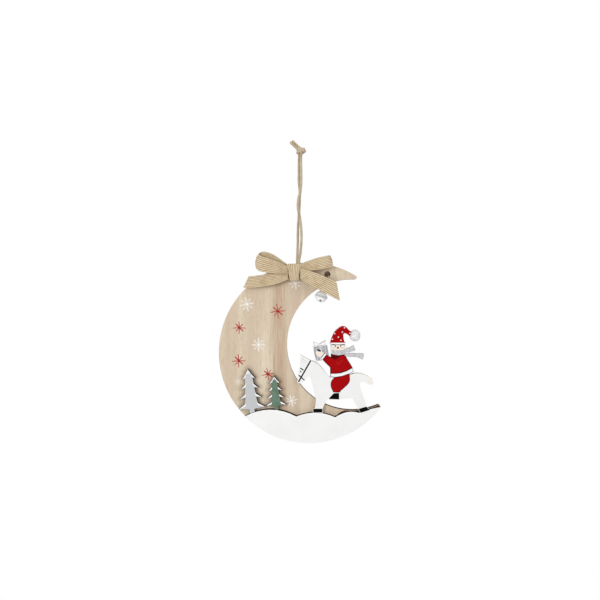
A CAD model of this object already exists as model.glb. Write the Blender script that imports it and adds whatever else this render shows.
# A crescent moon ornament of laser-cut board: a snowy scene glued on its face, a jute bow at the top,
# a twine hanger with a knot and a little jingle bell tied to its upper horn.
import math

import bmesh
import bpy
from mathutils import Matrix, Vector, noise


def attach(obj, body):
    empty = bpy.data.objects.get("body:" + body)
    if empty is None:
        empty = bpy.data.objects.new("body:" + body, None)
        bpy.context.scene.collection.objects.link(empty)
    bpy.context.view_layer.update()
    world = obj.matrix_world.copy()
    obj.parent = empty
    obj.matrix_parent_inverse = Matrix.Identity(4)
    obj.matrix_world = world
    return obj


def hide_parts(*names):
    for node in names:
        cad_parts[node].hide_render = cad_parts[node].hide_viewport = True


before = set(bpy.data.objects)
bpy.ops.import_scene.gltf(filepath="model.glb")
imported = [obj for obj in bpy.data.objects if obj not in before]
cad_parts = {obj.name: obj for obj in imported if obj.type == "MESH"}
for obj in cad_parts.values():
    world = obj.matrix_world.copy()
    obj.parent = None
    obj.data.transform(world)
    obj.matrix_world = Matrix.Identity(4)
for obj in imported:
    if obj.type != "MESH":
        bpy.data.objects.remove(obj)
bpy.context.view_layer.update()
# The ornament's sizes are written in millimetres, and MM turns them into the frame's metres
MM = 0.001

# Camera: straight in front of the board and rather near, so the edges of the cut-outs that look
# towards the middle of the picture show. The ornament's hanging point is above the middle.
PICTURE_PIXELS = 600
METRES_PER_PIXEL = 0.9 * MM
CAMERA_DISTANCE = 400 * MM
BOARD_FACE = -2.5
PICTURE_CENTRE = (-0.2 * MM, -129.6 * MM)
SENSOR_WIDTH = 36

camera = bpy.data.objects.new("camera", bpy.data.cameras.new("camera"))
camera.data.sensor_width = SENSOR_WIDTH
camera.data.lens = SENSOR_WIDTH * CAMERA_DISTANCE / (PICTURE_PIXELS * METRES_PER_PIXEL)
camera.data.clip_start = 0.01
camera.location = (PICTURE_CENTRE[0], BOARD_FACE * MM - CAMERA_DISTANCE, PICTURE_CENTRE[1])
camera.rotation_euler = (math.radians(90), 0, 0)
bpy.context.scene.collection.objects.link(camera)
bpy.context.scene.camera = camera
bpy.context.scene.view_settings.view_transform = "Standard"


# Room: a pale floor well below the hanging ornament, a white world behind it and three soft lamps.
# Together they light a wall that faces the camera at the level where white stays just white. The
# room's own sizes are in metres, and each lamp has its place, its side and its power.
FLOOR_HEIGHT = -0.9
FLOOR_SIDE = 1.4
AMBIENT_STRENGTH = 0.46
WHITE = (1, 1, 1, 1)
LAMPS = {
    "key_lamp": ((-0.75, -1.1, -0.05), 0.7, 8.3),
    "fill_lamp": ((0.9, -0.9, 0.35), 0.9, 4.6),
    "back_lamp": ((0.5, 1.2, 0.5), 0.9, 8.0),
}
LAMP_TARGET = Vector((0, 0, -0.17))


def put(tree, kind, inputs=None, **settings):
    """Adds a node with its settings, and fills its inputs with values or with links from sockets."""
    node = tree.nodes.new(kind)
    for name, setting in settings.items():
        setattr(node, name, setting)
    for key, value in (inputs or {}).items():
        if isinstance(value, bpy.types.NodeSocket):
            tree.links.new(value, node.inputs[key])
        else:
            node.inputs[key].default_value = value
    return node


def calculate(tree, operation, *values):
    """The result of one sum on values or sockets."""
    return put(tree, "ShaderNodeMath", dict(enumerate(values)), operation=operation).outputs[0]


def colour(code):
    """A written colour such as D6C4AA, in the renderer's linear values."""
    levels = [int(code[i:i + 2], 16) / 255 for i in (0, 2, 4)]
    linear = [v / 12.92 if v <= 0.04045 else ((v + 0.055) / 1.055) ** 2.4 for v in levels]
    return (*linear, 1)


world = bpy.data.worlds.new("white_studio")
world.use_nodes = True
bpy.context.scene.world = world
tree = world.node_tree
tree.nodes.clear()
rays = put(tree, "ShaderNodeLightPath").outputs
seen = calculate(tree, "MAXIMUM", rays["Is Camera Ray"], rays["Is Glossy Ray"])
seen = calculate(tree, "MAXIMUM", seen, rays["Is Transmission Ray"])
ambient = put(tree, "ShaderNodeBackground", {"Color": WHITE, "Strength": AMBIENT_STRENGTH})
backdrop = put(tree, "ShaderNodeBackground", {"Color": WHITE, "Strength": 1})
sky = put(tree, "ShaderNodeMixShader", {0: seen, 1: ambient.outputs[0], 2: backdrop.outputs[0]})
put(tree, "ShaderNodeOutputWorld", {"Surface": sky.outputs[0]})

for name, (place, side, power) in LAMPS.items():
    lamp = bpy.data.objects.new(name, bpy.data.lights.new(name, "AREA"))
    lamp.data.size = side
    lamp.data.energy = power
    lamp.location = place
    lamp.rotation_euler = (LAMP_TARGET - Vector(place)).to_track_quat("-Z", "Y").to_euler()
    bpy.context.scene.collection.objects.link(lamp)

bpy.ops.mesh.primitive_plane_add(size=FLOOR_SIDE, location=(0, 0, FLOOR_HEIGHT))
floor = bpy.context.object
floor.name = "floor"
floor_look = bpy.data.materials.new("pale_floor")
floor_look.use_nodes = True
shader = floor_look.node_tree.nodes["Principled BSDF"]
shader.inputs["Base Color"].default_value = colour("F6F6F5")
shader.inputs["Roughness"].default_value = 0.8
floor.data.materials.append(floor_look)


# Hanging cord: one length of three-ply jute twine, 2.2 mm thick, that passes through the hole in the
# board. Its front and back strands wind round each other on the way up to the knot.
CLEARANCE = 0.3
CORD_DIAMETER = 2.2
CORD_PITCH = 6.4
BEND_SHARE = 0.42
BEND_STEPS = 12
HOLE_X = -2.0
CORD_FACE = 3.9
BIGHT_Z = -102.0
SIDE_BY_SIDE = 1.25
FRONT_STRAND = [
    (HOLE_X, -CLEARANCE / 2, BIGHT_Z), (HOLE_X, -CORD_FACE, BIGHT_Z), (-1.3, -CORD_FACE, -95.5),
    (0.1, -3.3, -88), (1.1, -2.4, -78), (1.1, -1.8, -66), (-0.3, -1.4, -55),
    (-2.4, -SIDE_BY_SIDE, -45), (-1.6, -SIDE_BY_SIDE, -38), (0.3, -1.3, -31),
    (1.05, -SIDE_BY_SIDE, -21), (0.7, -SIDE_BY_SIDE, -8), (0.7, -SIDE_BY_SIDE, 0.4),
]
BACK_STRAND = [
    (HOLE_X, CLEARANCE / 2, BIGHT_Z), (HOLE_X, CORD_FACE, BIGHT_Z), (-2.8, CORD_FACE, -95.5),
    (-2.6, 3.3, -88), (-2.2, 2.4, -78), (-2.1, 1.8, -66), (-1.4, 1.4, -55),
    (-0.7, SIDE_BY_SIDE, -45), (-0.5, SIDE_BY_SIDE, -38), (-0.3, 1.3, -31),
    (-1.4, SIDE_BY_SIDE, -21), (-1.1, SIDE_BY_SIDE, -8), (-0.9, SIDE_BY_SIDE, 0.4),
]
PLY_REACH = 0.46
PLIES = 3
LOOSE_SPIN = 1.12
FUZZ = 0.1
FUZZ_PER_METRE = 1300


def length_of(line):
    """How long a line of points is."""
    return sum((b - a).length for a, b in zip(line, line[1:]))


def evenly(line, step):
    """The same line, as points an even step apart."""
    total = length_of(line)
    count = max(2, round(total / step))
    points = [line[0]]
    index = 0
    walked = 0.0
    for i in range(1, count):
        wanted = total * i / count
        while walked + (line[index + 1] - line[index]).length < wanted:
            walked += (line[index + 1] - line[index]).length
            index += 1
        part = (wanted - walked) / (line[index + 1] - line[index]).length
        points.append(line[index].lerp(line[index + 1], part))
    return points + [line[-1]]


def soft_path(points, step=0.5):
    """Straight runs with a smooth bend at each point between them, in metres."""
    corners = [Vector(point) * MM for point in points]
    line = [corners[0]]
    for before, corner, after in zip(corners, corners[1:], corners[2:]):
        reach = BEND_SHARE * min((before - corner).length, (after - corner).length)
        start = corner + (before - corner).normalized() * reach
        end = corner + (after - corner).normalized() * reach
        for i in range(BEND_STEPS + 1):
            t = i / BEND_STEPS
            line.append(start * (1 - t) ** 2 + corner * 2 * t * (1 - t) + end * t * t)
    return evenly(line + [corners[-1]], step * MM)


def ply_radius(angle):
    """How far a twine of round plies reaches from its centre, as a share of its radius."""
    share = 2 * math.pi / PLIES
    off = (angle % share) - share / 2
    round_ply = 1 - PLY_REACH
    return PLY_REACH * math.cos(off) + math.sqrt(round_ply ** 2 - (PLY_REACH * math.sin(off)) ** 2)


def skin(shape, rings, uv_of=None):
    """Joins each ring of points to the next; uv_of gives the UV of a ring's row and a point's column."""
    grid = shape.loops.layers.uv.active
    for row, (lower, upper) in enumerate(zip(rings, rings[1:])):
        for i in range(len(lower)):
            j = (i + 1) % len(lower)
            face = shape.faces.new((lower[i], lower[j], upper[j], upper[i]))
            face.smooth = True
            if uv_of:
                corners = ((row, i), (row, i + 1), (row + 1, i + 1), (row + 1, i))
                for loop, corner in zip(face.loops, corners):
                    loop[grid].uv = uv_of(*corner)


def fan(shape, ring, order=1):
    """Closes a ring of points with triangles round its middle."""
    middle = shape.verts.new(sum((v.co for v in ring), Vector()) / len(ring))
    for pair in zip(ring, ring[1:] + ring[:1]):
        shape.faces.new((middle, *pair[::order]))


def hoop(wide, deep, tall, steps, tilt, middle):
    """A closed oval line round a middle: wide along X, deep along Y, tall along Z and tilted about Y."""
    turn = Matrix.Rotation(math.radians(tilt), 4, "Y")
    points = []
    for i in range(steps):
        angle = 2 * math.pi * i / steps
        point = Vector((wide * math.cos(angle), deep * math.sin(angle), tall * math.sin(angle)))
        points.append(turn @ point + Vector(middle))
    return points


def add_twine(shape, line, diameter, pitch, sides=24, closed=False):
    """Lays a twisted twine along a line, with its plies' turn as U and its length as V."""
    shape.loops.layers.uv.verify()
    last = len(line) - 1
    ahead = (line[1] - line[0]).normalized()
    normal = ahead.orthogonal().normalized()
    rings = []
    distance = 0.0
    lengths = []
    for index, point in enumerate(line):
        before = line[index - 1] if index or closed else line[0]
        after = line[(index + 1) % len(line)] if index < last or closed else line[last]
        ahead = (after - before).normalized()
        normal = (normal - ahead * normal.dot(ahead)).normalized()
        side = ahead.cross(normal)
        if index:
            distance += (point - line[index - 1]).length
        lengths.append(distance)
        turn = 2 * math.pi * distance / (pitch * MM)
        ring = []
        for i in range(sides):
            angle = 2 * math.pi * i / sides
            fuzz = 1 + FUZZ * noise.noise(point * FUZZ_PER_METRE + Vector((angle, 0, 0)))
            reach = LOOSE_SPIN * diameter * MM / 2 * ply_radius(angle - turn) * fuzz
            ring.append(shape.verts.new(point + (normal * math.cos(angle) + side * math.sin(angle)) * reach))
        rings.append(ring)
    if closed:
        rings.append(rings[0])
        lengths.append(distance + (line[0] - line[-1]).length)
    skin(shape, rings, lambda row, column: (
        PLIES * (column / sides - lengths[row] / (pitch * MM)), lengths[row]))
    if not closed:
        fan(shape, rings[0], order=-1)
        fan(shape, rings[-1])


def new_piece(name, shape, looks, body=None, slot=None, node=None, **hairiness):
    """Turns a shape into a finished piece that rides on a body and may take a CAD node's place."""
    mesh = bpy.data.meshes.new(name)
    shape.to_mesh(mesh)
    shape.free()
    piece = bpy.data.objects.new(name, mesh)
    bpy.context.scene.collection.objects.link(piece)
    for look in looks:
        mesh.materials.append(look)
    if hairiness:
        add_fibres(piece, Material=looks[0], **hairiness)
    if body:
        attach(piece, body)
    if node:
        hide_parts(node)
    return piece


def new_group(name, inputs, outputs, kind_of_tree="ShaderNodeTree"):
    """A node group with named sockets: each one's kind or, for an input with a value, the number."""
    group = bpy.data.node_groups.new(name, kind_of_tree)
    for way, sockets in (("INPUT", inputs), ("OUTPUT", outputs)):
        for socket, kind in sockets.items():
            plain = "Float" if isinstance(kind, float) else kind
            made = group.interface.new_socket(socket, in_out=way, socket_type="NodeSocket" + plain)
            if plain != kind:
                made.default_value = kind
    entry = put(group, "NodeGroupInput")
    return group, entry.outputs, put(group, "NodeGroupOutput").inputs


def blend_colours(tree, share, first, second):
    """The first colour at a share of 0, the second at a share of 1."""
    return put(tree, "ShaderNodeMix", {0: share, 6: first, 7: second}, data_type="RGBA").outputs[2]


def stain(tree, tint, mask, depth, code):
    """Blends a written colour over a tint where a mask says, to a depth at most."""
    return blend_colours(tree, calculate(tree, "MULTIPLY", mask, depth), tint, colour(code))


def mottle(tree, place, scale, detail, **more):
    """Soft noise that follows a place."""
    inputs = {"Vector": place, "Scale": scale, "Detail": detail, **more}
    return put(tree, "ShaderNodeTexNoise", inputs).outputs[0]


def between(tree, value, low, high):
    """0 below low, 1 above high and a straight rise between them."""
    inputs = {"Value": value, "From Min": low, "From Max": high}
    return put(tree, "ShaderNodeMapRange", inputs).outputs[0]


# Jute fibres run along each yarn: long thin streaks, with a few dark slivers among them
fibres, given, result = new_group(
    "jute_fibres",
    {"Vector": "Vector", "Across": "Float", "Along": "Float"},
    {"Streak": "Float", "Sliver": "Float", "Height": "Float"},
)
axes = put(fibres, "ShaderNodeSeparateXYZ", {0: given["Vector"]})
stretched = put(fibres, "ShaderNodeCombineXYZ", {
    0: calculate(fibres, "MULTIPLY", axes.outputs[0], given["Across"]),
    1: calculate(fibres, "MULTIPLY", axes.outputs[1], given["Along"]),
}).outputs[0]
coarse = mottle(fibres, stretched, scale=1.0, detail=4.0, Roughness=0.65)
fine = mottle(fibres, stretched, scale=3.1, detail=2.0, Roughness=0.6)
fibres.links.new(between(fibres, coarse, low=0.3, high=0.7), result["Streak"])
fibres.links.new(between(fibres, fine, low=0.6, high=0.72), result["Sliver"])
height = calculate(fibres, "ADD", coarse, calculate(fibres, "MULTIPLY", fine, 0.5))
fibres.links.new(height, result["Height"])


def new_look(name, roughness, **fixed):
    """A material with its plain values, its tree, its surface shader and the place on the object."""
    look = bpy.data.materials.new(name)
    look.use_nodes = True
    shader = look.node_tree.nodes["Principled BSDF"]
    shader.inputs["Roughness"].default_value = roughness
    shader.inputs["Specular IOR Level"].default_value = 0.04
    for key, value in fixed.items():
        shader.inputs[key.replace("_", " ")].default_value = value
    place = put(look.node_tree, "ShaderNodeTexCoord").outputs["Object"]
    return look, look.node_tree, shader, place


def finish_surface(tree, shader, tint, height, strength, distance):
    """Gives a surface its colour and the relief of a height."""
    bump = put(tree, "ShaderNodeBump",
               {"Height": height, "Strength": strength, "Distance": distance * MM})
    tree.links.new(bump.outputs[0], shader.inputs["Normal"])
    tree.links.new(tint, shader.inputs["Base Color"])


def jute_look(name, light, dark, brown, sliver, across, along, groove_depth, groove_width=0.4):
    """Spun jute whose U counts its plies or ribs: light backs, dark grooves and fibres along V."""
    look, tree, shader, place = new_look(name, roughness=0.9, Sheen_Weight=0.15, Sheen_Roughness=0.5)
    cloth = put(tree, "ShaderNodeTexCoord").outputs["UV"]
    streaks = put(tree, "ShaderNodeGroup", {"Vector": cloth, "Across": across, "Along": along},
                  node_tree=fibres)
    turn = put(tree, "ShaderNodeSeparateXYZ", {0: cloth}).outputs[0]
    crest = calculate(tree, "ABSOLUTE", calculate(tree, "SINE", calculate(tree, "MULTIPLY", turn, math.pi)))
    groove = calculate(tree, "SUBTRACT", 1.0, between(tree, crest, low=0.0, high=groove_width))
    tint = blend_colours(tree, streaks.outputs["Streak"], colour(dark), colour(light))
    patches = mottle(tree, place, scale=160.0, detail=2.0)
    tint = stain(tree, tint, between(tree, patches, low=0.5, high=0.72), depth=0.4, code=brown)
    tint = stain(tree, tint, streaks.outputs["Sliver"], depth=0.4, code=sliver)
    tint = stain(tree, tint, groove, groove_depth, sliver)
    finish_surface(tree, shader, tint, streaks.outputs["Height"], strength=0.6, distance=0.25)
    return look


twine_look = jute_look("jute_twine", "EADEC6", "BFA986", "957856", "5E4830", across=2.6, along=210.0,
                       groove_depth=0.75, groove_width=0.55)

# Loose fibres stand off everything spun from jute: a tree that scatters bent hairs over a piece
hairs, given, result = new_group(
    "loose_fibres",
    {"Geometry": "Geometry", "Hairs per m2": "Float", "Length": "Float", "Thickness": "Float",
     "Lift": "Float", "Bend": "Float", "Seed": "Int", "Material": "Material"},
    {"Geometry": "Geometry"},
    "GeometryNodeTree",
)
spread = put(hairs, "GeometryNodeDistributePointsOnFaces",
             {"Mesh": given["Geometry"], "Density": given["Hairs per m2"], "Seed": given["Seed"]})


def hair_point(across, up):
    """A point of the hair, leaning by a share of its bend and rising by a share of its lift."""
    inputs = {
        0: calculate(hairs, "MULTIPLY", given["Bend"], across),
        2: calculate(hairs, "MULTIPLY", given["Lift"], up),
    }
    return put(hairs, "ShaderNodeCombineXYZ", inputs).outputs[0]


hair = put(hairs, "GeometryNodeCurveQuadraticBezier",
           {"Resolution": 3, "Start": (0, 0, -0.1), "Middle": hair_point(across=0.25, up=0.7),
            "End": hair_point(across=1, up=1)})
profile = put(hairs, "GeometryNodeCurvePrimitiveCircle", {"Resolution": 3})
hairs.links.new(calculate(hairs, "DIVIDE", given["Thickness"], given["Length"]), profile.inputs["Radius"])
strand = put(hairs, "GeometryNodeCurveToMesh",
             {"Curve": hair.outputs[0], "Profile Curve": profile.outputs[0], "Fill Caps": True})
spin = put(hairs, "FunctionNodeRandomValue", {2: 0.0, 3: 2 * math.pi, "Seed": given["Seed"]},
           data_type="FLOAT")
turn = put(hairs, "FunctionNodeAxisAngleToRotation", {"Axis": (0, 0, 1), "Angle": spin.outputs[1]})
facing = put(hairs, "FunctionNodeRotateRotation",
             {0: spread.outputs["Rotation"], 1: turn.outputs[0]}, rotation_space="LOCAL")
vary = put(hairs, "FunctionNodeRandomValue", {2: 0.55, 3: 1.0, "Seed": given["Seed"]}, data_type="FLOAT")
size = calculate(hairs, "MULTIPLY", vary.outputs[1], given["Length"])
planted = put(hairs, "GeometryNodeInstanceOnPoints",
              {"Points": spread.outputs["Points"], "Instance": strand.outputs[0],
               "Rotation": facing.outputs[0], "Scale": size})
loose = put(hairs, "GeometryNodeRealizeInstances", {0: planted.outputs[0]})
tinted = put(hairs, "GeometryNodeSetMaterial", {0: loose.outputs[0], 2: given["Material"]})
whole = put(hairs, "GeometryNodeJoinGeometry")
hairs.links.new(given["Geometry"], whole.inputs[0])
hairs.links.new(tinted.outputs[0], whole.inputs[0])
hairs.links.new(whole.outputs[0], result["Geometry"])


def apply_modifiers(piece):
    """Makes what a piece's modifiers show its plain mesh."""
    name = piece.data.name
    bpy.context.view_layer.update()
    made = bpy.data.meshes.new_from_object(piece.evaluated_get(bpy.context.evaluated_depsgraph_get()))
    piece.modifiers.clear()
    piece.data = made
    made.name = name


def add_fibres(piece, **values):
    """Grows loose fibres on a piece and makes the result its plain mesh."""
    growth = piece.modifiers.new("fibres", "NODES")
    growth.node_group = hairs
    for socket in hairs.interface.items_tree:
        key = socket.name.replace(" ", "_")
        if socket.in_out == "INPUT" and key in values:
            growth[socket.identifier] = values[key]
    apply_modifiers(piece)


cord_pieces = {}
for name, route in (("hanging_cord_front", FRONT_STRAND), ("hanging_cord_back", BACK_STRAND)):
    line = soft_path(route)
    shape = bmesh.new()
    add_twine(shape, line, CORD_DIAMETER, CORD_PITCH)
    strand_piece = new_piece(name + "_twine", shape, [twine_look], "hanger", "jute_twine", name,
                             Hairs_per_m2=9e5, Length=1.3 * MM, Thickness=0.028 * MM, Lift=0.42,
                             Bend=0.7, Seed=len(cord_pieces) + 3)
    cord_pieces[strand_piece] = line


# Hanger's knot: the same twine tied in an overhand knot, its turns drawn tight round the strands, with
# both cut ends of the cord pointing up and to the left, frayed a little.
KNOT_X = 0.7
KNOT_Z = 5.4
# Each turn of the knot: its tilt, its height over the middle, how deep it is for its width, its radius
KNOT_TURNS = [(-12, -0.9, 0.85, 3.3), (12, 0.9, 0.8, 3.3), (4, 0.0, 0.9, 2.6), (-80, 0.2, 0.9, 1.7),
              (75, -0.2, 0.9, 2.1)]
KNOT_TURN_STEPS = 44
TWISTS_IN_A_TURN = 3
DRAWN_TIGHT = 0.9
KNOT_STEP = 0.35
CUT_ENDS = [
    [(KNOT_X - 0.2, -0.8, KNOT_Z), (-2.2, -1.2, 6.6), (-3.9, -1.3, 8.2), (-8.9, -1.2, 12.9)],
    [(KNOT_X + 0.6, 0.4, KNOT_Z + 1), (-0.8, 0.2, 8.2), (-2.4, -0.2, 9.8), (-7.3, -0.2, 14.4)],
]
KNOT_RUNS = [
    [(0.7, -1.25, 0.4), (0.8, -2.0, 3.0), (2.6, -1.4, 6.0), (3.4, -0.6, 7.4)],
    [(-0.9, 1.25, 0.4), (-1.2, 1.8, 3.2), (-1.0, 1.4, 6.4), (0.9, 0.3, 8.2)],
]

shape = bmesh.new()
for tilt, lift, press, reach in KNOT_TURNS:
    loop = hoop(reach, reach * press, tall=0, steps=KNOT_TURN_STEPS, tilt=tilt,
                middle=(KNOT_X, 0, KNOT_Z + lift))
    pitch = 2 * math.pi * reach / TWISTS_IN_A_TURN
    add_twine(shape, [point * MM for point in loop], CORD_DIAMETER, pitch, closed=True)
for run in CUT_ENDS:
    add_twine(shape, soft_path(run, KNOT_STEP), CORD_DIAMETER, CORD_PITCH)
for run in KNOT_RUNS:
    add_twine(shape, soft_path(run, KNOT_STEP), CORD_DIAMETER * DRAWN_TIGHT, CORD_PITCH)
knot = new_piece("hanger_knot_twine", shape, [twine_look], "hanger", "jute_twine", "hanger_knot",
                 Hairs_per_m2=1.4e6, Length=1.4 * MM, Thickness=0.03 * MM, Lift=0.42, Bend=0.7, Seed=11)


# Crescent board: 5 mm thin wood, sawn by laser, so its edges are scorched brown. The face and back
# are bare and sanded, and the grain runs upright.
MOON_X = 7.7
MOON_Z = -176.77
GROUND_Z = -56.6
MOON_RADIUS = 81.0
BITE_CENTRE = (39.3, 6.9)
BITE_RADIUS = 59.0
EDGE_ROUNDING = 0.15
FACES_FRONT = 0.9
FACES_SIDEWAYS = 0.3
EXTRA_LOOK = 3


def on_board(x, z, margin):
    """Whether a place, given from the moon's middle, lies on the crescent by a margin."""
    return (math.hypot(x, z) < MOON_RADIUS - margin
            and math.hypot(x - BITE_CENTRE[0], z - BITE_CENTRE[1]) > BITE_RADIUS + margin)


grain, given, result = new_group(
    "wood_grain",
    {"Vector": "Vector", "Bands": 150.0, "Stretch": 0.05},
    {"Band": "Float", "Line": "Float", "Pore": "Float", "Height": "Float"},
)
axes = put(grain, "ShaderNodeSeparateXYZ", {0: given["Vector"]})
upright = put(grain, "ShaderNodeCombineXYZ", {
    0: axes.outputs[0],
    1: calculate(grain, "MULTIPLY", axes.outputs[1], 0.4),
    2: calculate(grain, "MULTIPLY", axes.outputs[2], given["Stretch"]),
}).outputs[0]
band = mottle(grain, upright, given["Bands"], detail=2.0, Distortion=0.3)
lines = mottle(grain, upright, calculate(grain, "MULTIPLY", given["Bands"], 7.0), detail=3.0, Roughness=0.6)
pores = mottle(grain, upright, calculate(grain, "MULTIPLY", given["Bands"], 26.0), detail=1.0)
grain.links.new(between(grain, band, low=0.36, high=0.64), result["Band"])
grain.links.new(between(grain, lines, low=0.35, high=0.7), result["Line"])
grain.links.new(between(grain, pores, low=0.62, high=0.72), result["Pore"])
height = calculate(grain, "SUBTRACT", lines, calculate(grain, "MULTIPLY", pores, 0.6))
grain.links.new(height, result["Height"])


def wood_look(name, pale, rosy, line, bands, roughness, heart=None):
    """Planed wood: broad upright bands, fine dark lines and pores, and smoke where it was lasered.

    heart gives the middle and half width of a browner streak of heartwood, if there is one."""
    look, tree, shader, place = new_look(name, roughness)
    figure = put(tree, "ShaderNodeGroup", {"Vector": place, "Bands": bands}, node_tree=grain)
    broad = put(tree, "ShaderNodeGroup", {"Vector": place, "Bands": bands * 0.45}, node_tree=grain)
    tint = blend_colours(tree, figure.outputs["Band"], colour(pale), colour(rosy))
    tint = stain(tree, tint, broad.outputs["Band"], depth=0.75, code=line)
    tint = stain(tree, tint, figure.outputs["Line"], depth=0.5, code=line)
    tint = stain(tree, tint, figure.outputs["Pore"], depth=0.5, code="A88B70")
    if heart:
        across = put(tree, "ShaderNodeSeparateXYZ", {0: place}).outputs[0]
        away = calculate(tree, "ABSOLUTE", calculate(tree, "SUBTRACT", across, heart[0] * MM))
        inside = calculate(tree, "SUBTRACT", 1.0, between(tree, away, heart[1] * 0.4 * MM, heart[1] * MM))
        deep = calculate(tree, "ADD", calculate(tree, "MULTIPLY", figure.outputs["Line"], 0.5), 0.25)
        tint = stain(tree, tint, inside, deep, "B59478")
    smoke = put(tree, "ShaderNodeAttribute", attribute_name="smoke").outputs["Fac"]
    tint = blend_colours(tree, smoke, tint, colour("846548"))
    finish_surface(tree, shader, tint, figure.outputs["Height"], strength=0.25, distance=0.15)
    return look


def scorched_look(name, char, brown, share):
    """The side of a laser cut: char with browner runs and fine stripes square to the face."""
    look, tree, shader, place = new_look(name, roughness=0.7)
    figure = put(tree, "ShaderNodeGroup", {"Vector": place, "Bands": 120.0, "Stretch": 1.0},
                 node_tree=grain)
    cloud = mottle(tree, place, scale=90.0, detail=3.0)
    patches = between(tree, cloud, low=0.5 - share, high=0.9 - share)
    tint = blend_colours(tree, patches, colour(char), colour(brown))
    tint = stain(tree, tint, figure.outputs["Line"], depth=0.4, code=char)
    finish_surface(tree, shader, tint, figure.outputs["Height"], strength=0.3, distance=0.2)
    return look


board_face_look = wood_look("bare_board", "EADFC6", "DDCCB5", "CDB8A2", bands=130.0, roughness=0.72,
                            heart=(-19.5, 9.0))
board_edge_look = scorched_look("scorched_board_edge", "3E2A1C", "62472F", share=0.15)


def rounded_cutout(node, face_look, edge_look, back_look):
    """A copy of a CAD cut-out in one skin, its cut edges slightly rounded and its sides scorched."""
    shape = bmesh.new()
    shape.from_mesh(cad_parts[node].data)
    bmesh.ops.remove_doubles(shape, verts=shape.verts, dist=1e-3 * MM)
    bmesh.ops.dissolve_limit(shape, angle_limit=math.radians(0.5), verts=shape.verts, edges=shape.edges)
    rims = [edge for edge in shape.edges if len(edge.link_faces) == 2
            and len({abs(face.normal.y) > FACES_FRONT for face in edge.link_faces}) == 2]
    bmesh.ops.bevel(shape, geom=rims, offset=EDGE_ROUNDING * MM, segments=2, profile=0.5, affect="EDGES",
                    clamp_overlap=True)
    bmesh.ops.triangulate(shape, faces=shape.faces)
    shape.normal_update()
    for face in shape.faces:
        sideways = abs(face.normal.y) < FACES_SIDEWAYS
        face.material_index = 1 if sideways else (0 if face.normal.y < 0 else 2)
    return shape, [face_look, edge_look, back_look]


shape, looks = rounded_cutout("crescent_board", board_face_look, board_edge_look, board_face_look)
new_piece("crescent_board_wood", shape, looks, "moon", "bare_wood", "crescent_board")


# Printed snowflakes and stars: thin ink on the bare face. The white flakes have eight arms, long and
# short in turn, with side twigs, and the red stars have eight plain rays of uneven length.
INK_DEPTH = 0.04
TWIG_DEPTH = INK_DEPTH * 1.05
FLAKE_MIDDLE_DEPTH = INK_DEPTH * 1.2
STAR_MIDDLE_DEPTH = INK_DEPTH * 1.1
PATCH_SINK = 0.02
# Each flake or star: its middle, how far it reaches and how far it is turned
FLAKES = [(-55.8, 43.3, 6.8, 12), (-45.1, 6.8, 6.4, 0), (-15.6, -43.6, 5.6, 14), (-12.2, 62.5, 6.0, 8)]
FAINT_FLAKES = [(-63.2, -25.9, 4.0, 5)]
STARS = [(-27.9, 37.1, 6.7, 6), (-62.5, 22.2, 5.6, 0), (-63.0, -7.5, 6.0, 2), (-36.7, -19.5, 5.6, 9)]
ARMS = 8
ARM_TURN = 360 / ARMS
STROKE_POINT = 0.2
FLAKE_LINE = 0.62
SHORT_ARM = 0.86
TWIG_LINE = 0.7 * FLAKE_LINE
TWIG_SPREAD = 50
TWIGS_AT = (0.4, 0.62, 0.82)
TWIG_REACH = 0.36
TWIG_SHRINK = 1.15
STAR_LINE = 0.95
BOLD_RAY = 1.25
FINE_RAY = 0.85
SHORT_RAY = 0.8
RAY_SWAY = 3


def winding(outline):
    """1 if a closed outline runs anticlockwise, and -1 if it runs clockwise."""
    area = sum(a[0] * b[1] - b[0] * a[1] for a, b in zip(outline, outline[1:] + outline[:1]))
    return 1 if area > 0 else -1


def add_patch(shape, outline, face_y, depth, look=0, lift=(MOON_X, MOON_Z)):
    """A thin closed patch of paint or ink on a face; its outline is in X and Z."""
    front = [shape.verts.new(((x + lift[0]) * MM, (face_y - depth) * MM, (z + lift[1]) * MM))
             for x, z in outline]
    back = [shape.verts.new((v.co.x, (face_y + PATCH_SINK) * MM, v.co.z)) for v in front]
    order = winding(outline)
    faces = [shape.faces.new(front[::order]), shape.faces.new(back[::-order])]
    for i, point in enumerate(front):
        j = (i + 1) % len(front)
        side = (point, back[i], back[j], front[j])
        faces.append(shape.faces.new(side[::order]))
    for face in faces:
        face.material_index = look


def stroke(start, end, width, tip=0.45):
    """The outline of one pen stroke, narrower at its far end."""
    ahead = (Vector(end) - Vector(start)).normalized()
    side = Vector((-ahead.y, ahead.x)) * width / 2
    near = Vector(start)
    far = Vector(end)
    point = far + ahead * width * STROKE_POINT
    return [tuple(p) for p in (near - side, far - side * tip, point, far + side * tip, near + side)]


def polar(centre, reach, degrees):
    """The point at a reach and a bearing from a centre."""
    angle = math.radians(degrees)
    return (centre[0] + reach * math.cos(angle), centre[1] + reach * math.sin(angle))


def ink_look(name, ink, wood, cover):
    """Ink that the wood's fine lines show through here and there."""
    look, tree, shader, place = new_look(name, roughness=0.6)
    figure = put(tree, "ShaderNodeGroup", {"Vector": place}, node_tree=grain)
    worn = mottle(tree, place, scale=700.0, detail=2.0)
    tint = stain(tree, colour(ink), between(tree, worn, cover, cover + 0.12), figure.outputs["Line"], wood)
    finish_surface(tree, shader, tint, worn, strength=0.1, distance=0.05)
    return look


white_ink_look = ink_look("white_ink", "FAF7F2", "DCCBB2", cover=0.56)
faint_ink_look = ink_look("faint_white_ink", "EDE3D0", "DCCBB2", cover=0.5)
red_ink_look = ink_look("red_ink", "AE2A28", "C4806E", cover=0.58)

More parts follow.
